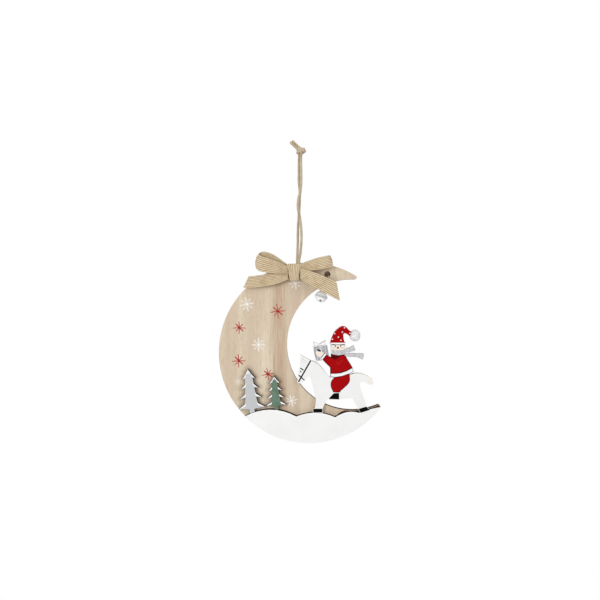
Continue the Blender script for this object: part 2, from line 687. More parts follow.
shape = bmesh.new()
inked_flakes = [(flake, 0) for flake in FLAKES] + [(flake, 1) for flake in FAINT_FLAKES]
for (x, z, reach, spin), ink in inked_flakes:
    for arm in range(ARMS):
        bearing = spin + ARM_TURN * arm
        end = polar((x, z), reach * (1 if arm % 2 == 0 else SHORT_ARM), bearing)
        add_patch(shape, stroke((x, z), end, FLAKE_LINE), BOARD_FACE, INK_DEPTH, ink)
        for share in TWIGS_AT[arm % 2:]:
            fork = polar((x, z), reach * share, bearing)
            for side in (-1, 1):
                twig = polar(fork, reach * TWIG_REACH * (TWIG_SHRINK - share), bearing + side * TWIG_SPREAD)
                add_patch(shape, stroke(fork, twig, TWIG_LINE), BOARD_FACE, TWIG_DEPTH, ink)
    middle = [polar((x, z), FLAKE_LINE, ARM_TURN * i) for i in range(ARMS)]
    add_patch(shape, middle, BOARD_FACE, FLAKE_MIDDLE_DEPTH, ink)
new_piece("printed_snowflakes", shape, [white_ink_look, faint_ink_look], "moon", "white_paint")

shape = bmesh.new()
for x, z, reach, spin in STARS:
    for ray in range(ARMS):
        length = reach * (1 if ray % 2 == 0 else SHORT_RAY)
        end = polar((x, z), length, spin + ARM_TURN * ray + (RAY_SWAY if ray % 3 else -RAY_SWAY))
        width = STAR_LINE * (BOLD_RAY if ray % 4 == 3 else FINE_RAY)
        add_patch(shape, stroke((x, z), end, width, tip=0.75), BOARD_FACE, INK_DEPTH)
    middle = [polar((x, z), STAR_LINE, ARM_TURN * i) for i in range(ARMS)]
    add_patch(shape, middle, BOARD_FACE, STAR_MIDDLE_DEPTH)
new_piece("printed_stars", shape, [red_ink_look], "moon", "printed_wood")


# Char round both holes: where the laser cut the cord hole and the bell hole it burned a dark ring
# into the bare face of the board. Each hole has its middle, its radius and the ring's outer radius.
HOLES = [((-9.7, 74.17), 2.0, 2.5), ((16.754, 70.333), 2.2, 2.7)]
HOLE_SECTORS = 20
CHAR_INSET = 0.1
CHAR_DEPTH = 0.02

char_look = scorched_look("hole_char", "3A2416", "6E4A2E", share=0.2)
shape = bmesh.new()
for centre, inner, outer in HOLES:
    for i in range(HOLE_SECTORS):
        start = 360 / HOLE_SECTORS * i
        end = 360 / HOLE_SECTORS * (i + 1)
        sector = [polar(centre, inner + CHAR_INSET, start), polar(centre, outer, start),
                  polar(centre, outer, end), polar(centre, inner + CHAR_INSET, end)]
        add_patch(shape, sector, BOARD_FACE, CHAR_DEPTH)
new_piece("char_round_the_holes", shape, [char_look], "moon", "bare_wood")


# Snow bank: a scalloped plate of 4 mm board glued along the foot of the crescent. Its face is
# painted white, with a thicker, whiter line of paint along the drifts above the scorched edge.
def vary_roughness(tree, shader, cloud, spread, least):
    """Lets a surface's roughness follow a cloud of noise."""
    rough = calculate(tree, "ADD", calculate(tree, "MULTIPLY", cloud, spread), least)
    tree.links.new(rough, shader.inputs["Roughness"])


def painted_look(name, paint, shade, roughness, depth=0.5, cloud_scale=60.0):
    """Brushed paint on board: faint mottling and fine brush marks."""
    look, tree, shader, place = new_look(name, roughness)
    cloud = mottle(tree, place, cloud_scale, detail=3.0)
    brush = put(tree, "ShaderNodeGroup", {"Vector": place, "Bands": 220.0, "Stretch": 0.2},
                node_tree=grain)
    tint = stain(tree, colour(paint), between(tree, cloud, low=0.4, high=0.7), depth, shade)
    tint = stain(tree, tint, brush.outputs["Line"], depth * 0.4, shade)
    vary_roughness(tree, shader, cloud, spread=0.15, least=roughness - 0.08)
    finish_surface(tree, shader, tint, brush.outputs["Height"], strength=0.12, distance=0.12)
    return look


SNOW_VALLEYS = [(-57.2, 0.0), (-11.2, -0.1), (23.5, -0.8), (44.5, 3.2), (63.3, 8.2)]
SNOW_RISES = [6.1, 3.8, 2.6, 0.5]
DRIFT_STEPS = 12
DRIFT_INSET = 0.25
CUTOUT_THICKNESS = 4.0
CUTOUT_FACE = BOARD_FACE - CUTOUT_THICKNESS
ON_GROUND = (MOON_X, MOON_Z + GROUND_Z)
RIM_OF_PAINT = 0.9
RIM_LEAST = 0.8
RIM_WAVER = 0.3
RIM_MARGIN = 1.0
PAINT_DEPTH = 0.03
SHORTEST_STRIP = 0.01

snow_look = painted_look("snow_paint", "F6F6F5", "EEEEEE", roughness=0.6)
bright_look = painted_look("thick_white_paint", "FDFDFD", "F6F6F6", roughness=0.55)
edge_look = scorched_look("scorched_edge", "180E08", "4E2E1A", share=0.0)
thin_back_look = wood_look("bare_back", "D9C4A0", "CDB48E", "B0946C", bands=150.0, roughness=0.75)

shape, looks = rounded_cutout("snow_bank", snow_look, edge_look, thin_back_look)
drift_line = []
for (x0, z0), (x1, z1), rise in zip(SNOW_VALLEYS, SNOW_VALLEYS[1:], SNOW_RISES):
    for i in range(DRIFT_STEPS + 1):
        t = i / DRIFT_STEPS
        arc = 4 * rise * t * (1 - t)
        drift_line.append((x0 + (x1 - x0) * t, z0 + (z1 - z0) * t + arc - DRIFT_INSET))
inside = [(x, z) for x, z in drift_line if on_board(x, z + GROUND_Z, RIM_MARGIN)]
for (x0, z0), (x1, z1) in zip(inside, inside[1:]):
    if x1 - x0 > SHORTEST_STRIP:
        width = RIM_OF_PAINT * (RIM_LEAST + RIM_WAVER * noise.noise(Vector((x0 * 0.2, 0, 0))))
        strip = [(x0, z0), (x0, z0 - width), (x1, z1 - width), (x1, z1)]
        add_patch(shape, strip, CUTOUT_FACE, PAINT_DEPTH, EXTRA_LOOK, ON_GROUND)
new_piece("snow_bank_painted", shape, looks + [bright_look], "moon", "white_paint", "snow_bank")


# Char along the drifts: the laser that cut the scalloped edge burned a line into the board behind
# it, and burned the thin lower horn brown all over.
BURN_LINE = {"left drift": 0.6, "other drifts": 0.2}
HORN_FROM = 26.0
HORN_BLEND = 9.0
HORN_MARGIN = 0.25
BURN_BELOW = 1.2
BURN_MARGIN = 0.4
SCORCH_DEPTH = 0.05


def bite_edge(x):
    """The height of the crescent's inner edge over a place on its lower half, from the ground."""
    across = x - BITE_CENTRE[0]
    return BITE_CENTRE[1] - math.sqrt(max(0.0, BITE_RADIUS ** 2 - across ** 2)) - GROUND_Z


def burn_top(x, z):
    """How high the char reaches over a point of the drifts' edge."""
    line = BURN_LINE["left drift" if x < SNOW_VALLEYS[1][0] else "other drifts"]
    edge = bite_edge(x) - HORN_MARGIN
    share = max(0.0, min(1.0, (x - HORN_FROM) / HORN_BLEND))
    return min(edge, z + line + (edge - z) * share)


shape = bmesh.new()
burnt = [(x, z) for x, z in drift_line if on_board(x, z + GROUND_Z, BURN_MARGIN)]
for (x0, z0), (x1, z1) in zip(burnt, burnt[1:]):
    if x1 - x0 > SHORTEST_STRIP:
        strip = [(x0, burn_top(x0, z0)), (x0, z0 - BURN_BELOW), (x1, z1 - BURN_BELOW),
                 (x1, burn_top(x1, z1))]
        add_patch(shape, strip, BOARD_FACE, SCORCH_DEPTH, look=0, lift=ON_GROUND)
new_piece("char_along_the_drifts", shape, [char_look], "moon", "bare_wood")


# Trees: two 4 mm cut-outs glued beside each other, the tall one painted silver grey and the small one
# green. Jagged white snow is printed along the tips of their branches.
TREES = {
    "silver_tree": dict(foot=(-50.4, 4.3), lean=6.2, height=34.8, trunk=3.2, tiers=4, top_half=5.7,
                        base_half=11.8, top_notch=3.4, base_notch=5.4),
    "green_tree": dict(foot=(-28.7, 6.3), lean=4.5, height=26.2, trunk=3.8, tiers=4, top_half=4.4,
                       base_half=8.8, top_notch=2.4, base_notch=4.0),
}
TREE_LOOKS = {
    "silver_tree": painted_look("silver_paint", "C9CACC", "BFC0C3", roughness=0.45),
    "green_tree": painted_look("green_paint", "6F8774", "5E7663", roughness=0.55, depth=0.8,
                               cloud_scale=200.0),
}
# The snow's outline on a branch, as shares of the branch's reach and of a tier's height
SNOW_ON_BRANCH = {
    "silver_tree": [(0.50, 0.42), (1.0, 0.0), (0.88, 0.01), (0.78, 0.10), (0.70, 0.08), (0.62, 0.17),
                    (0.54, 0.18), (0.46, 0.34), (0.42, 0.50)],
    "green_tree": [(0.52, 0.40), (1.0, 0.0), (0.80, -0.03), (0.70, 0.10), (0.58, 0.04), (0.46, 0.32)],
}
SNOW_INSET = 0.3
SNOW_UP = 0.25
TOP_CAP_FOOT = (0.4, 0.46)
TOP_CAP_TIP = (0.0, -0.7)
BRANCH_DROOP = 0.9
BRANCH_BEND = {"out": 0.5, "up": 0.42}


def tree_point(tree, x, z):
    """A point given across and down from a tree's top, leaned and stood on its foot."""
    lean = math.radians(tree["lean"])
    up = z + tree["height"] + tree["trunk"]
    return (tree["foot"][0] + x * math.cos(lean) - up * math.sin(lean),
            tree["foot"][1] + x * math.sin(lean) + up * math.cos(lean))


def tiers_of(tree):
    """Each tier from the top: its height, how far its tips and its notches reach, and their level."""
    tier = tree["height"] / tree["tiers"]
    for index in range(tree["tiers"]):
        share = index / (tree["tiers"] - 1)
        tip = tree["top_half"] + (tree["base_half"] - tree["top_half"]) * share
        notch = tree["top_notch"] + (tree["base_notch"] - tree["top_notch"]) * share
        yield tier, tip, notch, -tier * (index + 1)


def tree_outline(tree):
    """The tree's cut edge, from its lowest left notch over the top to the right one."""
    side = []
    for tier, tip, notch, bottom in tiers_of(tree):
        side += [(tip * BRANCH_BEND["out"], bottom + tier * BRANCH_BEND["up"]), (tip, bottom),
                 (notch, bottom + BRANCH_DROOP)]
    points = [(-x, z) for x, z in reversed(side)] + [(0, 0)] + side
    return [tree_point(tree, x, z) for x, z in points]


def gap_to(point, outline):
    """The distance from a point to the nearest run of an outline."""
    nearest = math.inf
    for start, end in zip(outline, outline[1:]):
        run = Vector(end) - Vector(start)
        along = max(0.0, min(1.0, (point - Vector(start)).dot(run) / run.length_squared))
        nearest = min(nearest, (point - Vector(start) - run * along).length)
    return nearest


# Haze round both trees: the laser's smoke left a brown stain on the board that fades away within
# about four millimetres of each tree's edge.
SMOKE_REACH = 4.4
SMOKE_STEP = 0.6
SMOKE_FROM = -73
SMOKE_COLUMNS = 105
SMOKE_ROWS = 78
SMOKE_MARGIN = 0.5
SMOKE_STRENGTH = 0.75
SMOKE_LEAST = 0.6
SMOKE_WAVER = 0.4
SMOKE_FADE = 1.3
SMOKE_LIFT = 0.012
SMOKE_SINK = 0.03

outlines = [tree_outline(tree) for tree in TREES.values()]
shape = bmesh.new()
smoke = shape.verts.layers.float.new("smoke")
haze = {}
for i in range(SMOKE_COLUMNS):
    for j in range(SMOKE_ROWS):
        point = Vector((SMOKE_FROM + i * SMOKE_STEP, j * SMOKE_STEP))
        if on_board(point.x, point.y + GROUND_Z, SMOKE_MARGIN):
            gap = min(gap_to(point, outline) for outline in outlines)
            patchy = SMOKE_LEAST + SMOKE_WAVER * noise.noise(Vector((point.x * 0.5, point.y * 0.5, 0)))
            vert = shape.verts.new(((point.x + MOON_X) * MM, (BOARD_FACE - SMOKE_LIFT) * MM,
                                    (point.y + GROUND_Z + MOON_Z) * MM))
            vert[smoke] = SMOKE_STRENGTH * max(0.0, 1 - gap / SMOKE_REACH) ** SMOKE_FADE * patchy
            haze[i, j] = vert
for (i, j), vert in haze.items():
    corners = [haze.get(key) for key in ((i, j), (i + 1, j), (i + 1, j + 1), (i, j + 1))]
    if all(corners) and any(corner[smoke] > 0 for corner in corners):
        shape.faces.new(corners)
bmesh.ops.delete(shape, geom=[v for v in shape.verts if not v.link_faces], context="VERTS")
back = bmesh.ops.extrude_face_region(shape, geom=shape.faces[:], use_keep_orig=True)["geom"]
for vert in back:
    if isinstance(vert, bmesh.types.BMVert):
        vert.co.y += SMOKE_SINK * MM
bmesh.ops.recalc_face_normals(shape, faces=shape.faces)
new_piece("smoke_round_the_trees", shape, [board_face_look], "moon", "bare_wood")

for name, tree in TREES.items():
    shape, looks = rounded_cutout(name, TREE_LOOKS[name], edge_look, thin_back_look)
    for index, (tier, tip, _, bottom) in enumerate(tiers_of(tree)):
        for side in (-1, 1):
            marks = [(side * (tip * u - SNOW_INSET), bottom + tier * v + SNOW_UP)
                     for u, v in SNOW_ON_BRANCH[name]]
            if index == 0:
                marks += [(side * TOP_CAP_FOOT[0], -tier * TOP_CAP_FOOT[1]), TOP_CAP_TIP]
            outline = [tree_point(tree, x, z) for x, z in marks]
            add_patch(shape, outline, CUTOUT_FACE, PAINT_DEPTH, EXTRA_LOOK, ON_GROUND)
    new_piece(name + "_painted", shape, looks + [bright_look], "moon", name.replace("tree", "paint"), name)


# Horse and rider: one 4 mm cut-out whose hooves stand on the snow. The white horse, the red coat and
# trousers, the grey scarf and the gift are printed on its face, and its sides are scorched.
INK_STEP = 0.03
RIDER_LOOKS = {
    "outline": painted_look("dark_outline_ink", "1E0C0B", "2C1310", roughness=0.5),
    "red": painted_look("red_print", "A8080B", "990508", roughness=0.55, depth=0.8),
    "fold": painted_look("coat_fold_line", "BE3A36", "A82C28", roughness=0.55),
    "dark_red": painted_look("dark_red_print", "560609", "3E0406", roughness=0.55),
    "black": painted_look("black_print", "030303", "0A0A0A", roughness=0.7),
    "white": painted_look("white_print", "FAFAFA", "F0F0F0", roughness=0.5),
    "skin": painted_look("face_print", "F7EBDD", "F0DECB", roughness=0.5),
    "grey": painted_look("grey_print", "BEBEC1", "98989E", roughness=0.55, depth=1.0, cloud_scale=620.0),
    "pale_grey": painted_look("pale_grey_print", "E0E0E1", "AAAAAF", roughness=0.55, depth=1.0,
                              cloud_scale=620.0),
    "brown": painted_look("brown_print", "3A241A", "24160F", roughness=0.5),
    "beige": painted_look("beige_print", "F3F0E8", "EFEBE1", roughness=0.55),
}
horse_look = painted_look("horse_white_paint", "F4F4F3", "ECECEC", roughness=0.5)
INKS = list(RIDER_LOOKS)


def curve_through(a, b, c, d, t):
    """The value at a share of the way from b to c, on a smooth curve through all four."""
    return (b * 2 + (c - a) * t + (a * 2 - b * 5 + c * 4 - d) * t ** 2
            + (b * 3 - a - c * 3 + d) * t ** 3) / 2


def smooth_outline(points, steps):
    """A closed outline with a smooth curve through its points."""
    count = len(points)
    made = []
    for i in range(count):
        four = [Vector(points[(i + k) % count]) for k in (-1, 0, 1, 2)]
        made += [tuple(curve_through(*four, j / steps)) for j in range(steps)]
    return made


def grown(outline, amount):
    """The same closed outline, moved outwards by an amount."""
    sign = winding(outline)
    made = []
    for i, point in enumerate(outline):
        before = (Vector(point) - Vector(outline[i - 1])).normalized()
        after = (Vector(outline[(i + 1) % len(outline)]) - Vector(point)).normalized()
        side = Vector((before.y + after.y, -before.x - after.x))
        side = side.normalized() / max(0.5, math.sqrt(max(0.0, (1 + before.dot(after)) / 2)))
        made.append(tuple(Vector(point) + side * amount * sign))
    return made


def disc(centre, width, tall, sides=12, turn=0.0):
    """An oval outline, turned by an angle."""
    made = []
    for i in range(sides):
        angle = 2 * math.pi * i / sides
        x = width * math.cos(angle)
        z = tall * math.sin(angle)
        made.append((centre[0] + x * math.cos(turn) - z * math.sin(turn),
                     centre[1] + x * math.sin(turn) + z * math.cos(turn)))
    return made


def bar(start, end, width):
    """A straight bar with square ends."""
    ahead = (Vector(end) - Vector(start)).normalized()
    side = Vector((-ahead.y, ahead.x)) * width / 2
    return [tuple(p) for p in (Vector(start) - side, Vector(end) - side, Vector(end) + side,
                               Vector(start) + side)]


COAT_PRINT = [
    (20.0, -1.1), (31.3, -1.1), (34.2, -6.1), (37.0, -10.6), (38.3, -12.9), (33.2, -15.7), (28.1, -17.3),
    (23.5, -17.9), (19.5, -17.9), (19.5, -12.8), (15.6, -9.0), (12.9, -6.2), (14.6, -3.6), (15.9, -1.9),
    (17.7, -3.3), (20.0, -4.4),
]
HEM_PRINT = [(19.6, -18.5), (23.5, -18.6), (28.3, -18.1), (33.6, -16.4), (38.5, -13.7), (39.4, -16.2),
             (35.4, -18.4), (29.6, -20.4), (23.2, -21.4), (19.7, -20.8)]
TROUSERS_PRINT = [(35.2, -19.2), (35.9, -21.3), (36.0, -24.4), (34.9, -27.0), (32.3, -29.6), (29.6, -32.1),
                  (28.0, -33.3), (27.2, -34.6), (22.4, -34.6), (21.8, -33.7), (20.7, -31.6),
                  (20.0, -29.3), (20.1, -26.6), (21.1, -24.3), (23.4, -22.2), (28.1, -21.3)]
BOOT_PRINT = [(22.4, -35.9), (26.9, -35.7), (27.0, -41.4), (18.0, -41.1), (18.5, -39.8), (20.4, -37.8)]
HAT_PRINT = [(19.5, 9.2), (19.4, 9.6), (19.8, 11.2), (21.0, 14.1), (22.6, 17.7), (25.1, 20.5), (28.2, 22.9),
             (30.6, 23.6), (32.5, 23.1), (34.1, 21.6), (36.1, 19.6), (38.6, 17.9), (38.6, 14.6),
             (36.6, 15.3), (34.5, 16.8), (32.7, 17.8), (31.0, 17.6), (30.3, 16.3), (30.5, 14.1),
             (30.8, 11.9), (31.5, 9.6), (31.6, 9.2), (31.2, 9.1), (19.9, 9.1)]
HAT_DOTS = [(31.7, 22.4), (23.0, 17.3), (29.8, 18.6), (26.3, 14.1), (20.9, 12.2), (28.6, 11.3), (36.6, 17.6)]
FACE_PRINT = [(19.8, 7.6), (32.2, 7.6), (32.5, 5.8), (32.2, 2.2), (20.3, 2.2), (20.0, 3.1)]
NECK_SCARF = [(20.3, 2.9), (23.0, 2.4), (26.0, 2.2), (29.3, 2.6), (32.0, 3.4), (32.1, 0.4), (31.4, -1.3),
              (26.0, -2.1), (20.4, -1.0)]
UPPER_SCARF = [(31.2, 3.4), (36.9, 4.3), (40.0, 6.2), (41.4, 2.5), (38.0, 1.4), (34.4, 0.8), (31.2, 0.7)]
LOWER_SCARF = [(31.2, 0.6), (37.1, -0.8), (42.5, -0.8), (46.0, -0.7), (48.6, -1.0), (48.9, -2.7),
               (47.9, -5.6), (44.6, -4.1), (40.7, -3.3), (36.2, -3.4), (31.4, -2.2)]
GIFT_PRINT = [(4.1, 5.3), (10.6, 6.5), (16.3, 6.5), (18.0, -2.7), (15.4, -5.6), (10.6, -6.9), (6.4, -6.8),
              (4.7, -0.5)]
GIFT_BOW_PRINT = [(5.0, 6.2), (3.9, 9.6), (6.0, 9.6), (8.7, 7.8), (11.4, 8.9), (14.6, 11.0), (14.6, 7.2)]
HAND_PRINT = [(6.3, 0.6), (8.3, 1.7), (10.6, 1.8), (12.3, 0.7), (13.2, -0.5), (11.6, -3.0), (9.4, -3.7),
              (7.1, -2.1)]
# Each print: its ink, its layer above the face and its outline
PRINTS = [
    ("red", 2, grown(smooth_outline(HAT_PRINT, steps=4), amount=0.35)),
    ("outline", 1, grown(COAT_PRINT, amount=0.5)),
    ("red", 2, COAT_PRINT),
    ("dark_red", 3, [(20.1, -1.2), (31.9, -1.2), (31.5, -2.3), (28.4, -2.9), (24.4, -5.6), (22.0, -5.8),
                     (20.1, -4.2)]),
    ("fold", 3, bar((24.3, -7.9), (26.5, -10.4), width=0.3)),
    ("fold", 3, bar((26.5, -10.4), (29.6, -6.3), width=0.3)),
    ("outline", 1, grown(HEM_PRINT, amount=0.38)),
    ("white", 3, HEM_PRINT),
    ("outline", 1, grown(smooth_outline(TROUSERS_PRINT, steps=3), amount=0.55)),
    ("red", 2, smooth_outline(TROUSERS_PRINT, steps=3)),
    ("black", 2, BOOT_PRINT),
    ("skin", 1, FACE_PRINT),
    ("outline", 2, [(20.0, 7.9), (32.2, 7.9), (32.2, 7.4), (26.2, 7.0), (20.0, 7.4)]),
    ("white", 3, [(19.4, 9.1), (32.2, 9.1), (32.3, 7.9), (26.2, 7.5), (19.6, 7.9)]),
    ("outline", 2, disc((21.9, 6.1), width=2.1, tall=1.25, sides=14, turn=-0.15)),
    ("outline", 2, disc((30.2, 6.1), width=2.1, tall=1.25, sides=14, turn=0.15)),
    ("white", 3, disc((21.8, 6.0), width=1.8, tall=0.95, sides=14, turn=-0.15)),
    ("white", 3, disc((30.3, 6.0), width=1.8, tall=0.95, sides=14, turn=0.15)),
    ("outline", 4, disc((23.6, 6.2), width=0.5, tall=0.55)),
    ("outline", 4, disc((28.3, 6.2), width=0.5, tall=0.55)),
    ("brown", 4, disc((25.9, 4.6), width=0.85, tall=0.85)),
    ("red", 5, disc((25.9, 4.7), width=0.6, tall=0.55)),
    ("pale_grey", 4, NECK_SCARF),
    ("grey", 2, grown(UPPER_SCARF, amount=0.1)),
    ("pale_grey", 3, grown(UPPER_SCARF, amount=-0.25)),
    ("grey", 2, grown(LOWER_SCARF, amount=0.1)),
    ("pale_grey", 3, grown(LOWER_SCARF, amount=-0.25)),
    ("grey", 1, GIFT_PRINT),
    ("pale_grey", 2, [(9.4, 6.2), (11.9, 6.3), (12.6, -6.3), (10.0, -6.7)]),
    ("pale_grey", 2, bar((6.3, 4.9), (7.9, -6.4), width=0.8)),
    ("pale_grey", 2, bar((14.3, 5.9), (15.4, -3.5), width=0.7)),
    ("pale_grey", 1, grown(GIFT_BOW_PRINT, amount=0.1)),
    ("white", 2, grown(GIFT_BOW_PRINT, amount=-0.3)),
    ("beige", 1, [(52.2, -24.9), (53.6, -21.6), (56.2, -22.0), (57.4, -26.8), (56.2, -28.0), (53.4, -27.9)]),
    ("skin", 3, smooth_outline(HAND_PRINT, steps=3)),
    ("brown", 4, disc((9.1, 2.2), width=1.8, tall=0.85, sides=12, turn=-0.45)),
    ("outline", 3, bar((10.9, -4.1), (14.0, -0.1), width=0.5)),
    ("white", 4, bar((11.7, -4.8), (14.8, -0.9), width=1.5)),
    ("outline", 3, bar((12.6, -5.8), (15.6, -1.9), width=0.4)),
    ("black", 1, bar((1.62, -6.84), (-9.3, -25.9), width=1.25)),
    ("black", 1, bar((-7.7, -13.4), (-4.8, -15.4), width=0.95)),
    ("black", 1, bar((-9.1, -19.7), (-3.9, -24.4), width=0.95)),
    ("black", 1, disc((-7.2, -16.6), width=0.65, tall=0.65)),
    ("pale_grey", 1, bar((2.6, -7.1), (9.4, -10.4), width=0.4)),
    ("pale_grey", 1, bar((9.2, -10.6), (18.2, -21.2), width=0.4)),
    ("pale_grey", 1, bar((-6.9, -4.4), (-1.4, -8.2), width=0.35)),
    ("pale_grey", 1, bar((-7.0, -6.4), (-3.2, -9.4), width=0.3)),
    ("black", 1, [(3.9, -49.7), (12.0, -49.7), (12.0, -53.0), (3.9, -52.9)]),
    ("black", 1, [(44.2, -49.9), (50.9, -47.9), (51.8, -48.3), (54.3, -50.9), (46.2, -53.4)]),
]
PRINTS += [("white", 3, disc(dot, width=0.62, tall=0.55)) for dot in HAT_DOTS]

pale_edge_look = scorched_look("pale_scorched_edge", "B7A58E", "E3D9C8", share=0.1)

shape, looks = rounded_cutout("horse_and_rider", horse_look, pale_edge_look, thin_back_look)
for ink, layer, outline in PRINTS:
    add_patch(shape, outline, CUTOUT_FACE, INK_STEP * layer, EXTRA_LOOK + INKS.index(ink))
new_piece("horse_and_rider_painted", shape, looks + list(RIDER_LOOKS.values()), "moon", "printed_wood",
          "horse_and_rider")


# Pompom: a small ball of white yarn, tied in the middle and clipped round, glued over the tip of
# the rider's hat.
POMPOM_CENTRE = (49.0, -4.5, -161.27)
POMPOM_CORE = 4.75
POMPOM_LUMPS = 0.06
POMPOM_TALL = 1.1
LUMPS_PER_MM = 0.9

wool_look, tree, shader, place = new_look(
    "white_wool", roughness=0.95, Sheen_Weight=1.0, Sheen_Roughness=0.3, Subsurface_Weight=1.0,
    Subsurface_Scale=3 * MM, Subsurface_Radius=(1, 1, 1))
tufts = mottle(tree, place, scale=900.0, detail=2.0)
tint = blend_colours(tree, between(tree, tufts, low=0.4, high=0.65), colour("F8F6FA"), colour("FFFFFF"))
finish_surface(tree, shader, tint, tufts, strength=0.3, distance=0.15)

shape = bmesh.new()
bmesh.ops.create_icosphere(shape, subdivisions=4, radius=POMPOM_CORE * MM)
for vert in shape.verts:
    vert.co *= 1 + POMPOM_LUMPS * noise.noise(vert.co / MM * LUMPS_PER_MM)
    vert.co.z *= POMPOM_TALL
    vert.co += Vector(POMPOM_CENTRE) * MM
new_piece("pompom_wool", shape, [wool_look], "moon", "wool", "pompom",
          Hairs_per_m2=6e6, Length=0.4 * MM, Thickness=0.05 * MM, Lift=0.8, Bend=0.9, Seed=5)


# Jute bow: loosely woven ribbon about 12 mm wide, with fat cords along its length. Two loops and two
# tails stand in front of the board, and a short length is wrapped round their middle.
RIBBON_THICKNESS = 0.9
RIBS = 8
RIB_HEIGHT = 0.5
RIBBON_COLUMNS = RIBS * 5
YARN_BEADS = 0.035
YARN_PITCH = 0.9
YARN_SHIFT = 2.4
RIBBON_WANDER = 0.12
SELVEDGE_FROM = 0.9
SELVEDGE_FALL = 5
BOW_X = -5.3
BOW_Z = -104.9
LOOP_START = 5.2
STATION_STEPS = 22
# Each band: the ribbon's width in metres, and its stations. A station gives the place along the bow,
# the height, how far it stands off the board, half the width, the lean and how far the middle bulges.
BANDS = {
    "bow_left_loop": (0.0125, [
        (-LOOP_START, 4.0, 3.9, 2.4, 0, 0), (-9, 5.0, 4.3, 3.6, -20, 0.2), (-14.5, 7.6, 4.6, 4.6, -26, 0.4),
        (-21, 10.8, 4.8, 5.5, -22, 0.5), (-28, 12.6, 5.0, 6.0, -17, 0.6), (-31.2, 11.4, 6.2, 6.2, -14, 1.2),
        (-32.0, 9.4, 8.2, 6.5, -10, 1.6), (-29.8, 7.4, 10.2, 6.7, -8, 1.0), (-23, 5.6, 10.3, 6.4, -12, 0.6),
        (-15, 3.7, 8.8, 5.2, -12, 0.6), (-9, 2.4, 6.8, 4.0, -8, 0.4), (-LOOP_START, 1.9, 5.5, 3.2, 0, 0)]),
    "bow_right_loop": (0.0115, [
        (LOOP_START, 4.2, 3.9, 2.4, 0, 0), (9, 4.8, 4.2, 3.4, 10, -0.2), (16, 6.4, 4.4, 4.6, 13, -0.4),
        (24, 8.3, 4.5, 5.2, 13, -0.4), (29.6, 9.4, 4.7, 5.3, 14, -0.5), (32.0, 9.7, 5.4, 5.4, 14, -0.9),
        (32.3, 9.6, 6.6, 5.4, 14, -0.9), (30.2, 9.2, 7.7, 5.4, 13, -0.5), (22, 7.4, 7.6, 5.4, 13, -0.4),
        (14, 5.8, 6.9, 4.6, 12, -0.4), (9, 4.9, 6.1, 3.7, 8, -0.3), (LOOP_START, 4.3, 5.5, 2.8, 0, 0)]),
    "bow_left_tail": (0.011, [
        (-LOOP_START, -3.6, 5.0, 2.8, 0, 0), (-10, -4.4, 5.4, 4.0, 6, 0.3), (-17, -5.9, 5.8, 4.9, 6, 0.5),
        (-26, -7.2, 5.0, 5.4, 0, 0.5), (-34, -8.3, 4.2, 5.5, -10, 0.3), (-43, -8.7, 3.8, 5.5, -25, 0)]),
    "bow_right_tail": (0.0125, [
        (LOOP_START + CLEARANCE, -1.4, 7.8, 4.4, 0, 0), (10, -3.4, 8.6, 5.2, -16, 0.3),
        (17, -6.5, 9.4, 6.0, -24, 0.4), (25, -10.2, 9.8, 6.4, -22, 0.5), (33, -14.2, 9.4, 7.0, -10, 0.3),
        (38.8, -17.4, 9.0, 7.9, 10.6, 0)]),
}
ribbon_look = jute_look("jute_ribbon", "F0E1C2", "D4BC96", "BB9B70", "6C4F31", across=2.2, along=190.0,
                        groove_depth=1.0, groove_width=0.6)


def rib_lift(count):
    """How far the ribbon's face stands out at a count of ribs across it."""
    return RIB_HEIGHT * (abs(math.sin(math.pi * count)) - 0.5)


def add_ribbon(shape, rows, widths):
    """A closed ribbon over rows of (centre, across, normal), ribbed on both of its faces."""
    shape.loops.layers.uv.verify()
    shares = [i / RIBBON_COLUMNS for i in range(RIBBON_COLUMNS + 1)]
    around = [(1, RIBS * (1 - share)) for share in shares] + [(-1, RIBS * share) for share in shares]
    rings = []
    lengths = []
    distance = 0.0
    for index, ((centre, across, normal), (half, crown)) in enumerate(zip(rows, widths)):
        if index:
            distance += (centre - rows[index - 1][0]).length
        ring = []
        for side, count in around:
            u = 2 * count / RIBS - 1
            beat = 2 * math.pi * distance / (YARN_PITCH * MM) + math.floor(count) * YARN_SHIFT
            yarn = YARN_BEADS * math.sin(beat)
            wander = RIBBON_WANDER * noise.noise(Vector((u * 3, distance * 160, side)))
            edge = 1 - max(0.0, abs(u) - SELVEDGE_FROM) * SELVEDGE_FALL
            lift = side * (RIBBON_THICKNESS / 2 * edge + rib_lift(count) * edge + yarn * edge) + wander
            lift += crown * (1 - u * u)
            ring.append(shape.verts.new(centre + (across * u * half + normal * lift) * MM))
        rings.append(ring)
        lengths.append(distance)
    skin(shape, rings, lambda row, column: (around[column % len(around)][1], lengths[row]))
    for ring, order in ((rings[0], -1), (rings[-1], 1)):
        for i in range(RIBBON_COLUMNS):
            a, b, c, d = (ring[k] for k in (i, i + 1, -2 - i, -1 - i))
            shape.faces.new((a, d, c, b)[::-order])


def between_stations(stations, t):
    """Smooth values at a share of the way along the stations."""
    place = t * (len(stations) - 1)
    i = min(int(place), len(stations) - 2)
    picks = [stations[max(0, min(len(stations) - 1, i + k))] for k in (-1, 0, 1, 2)]
    return [curve_through(*four, place - i) for four in zip(*picks)]


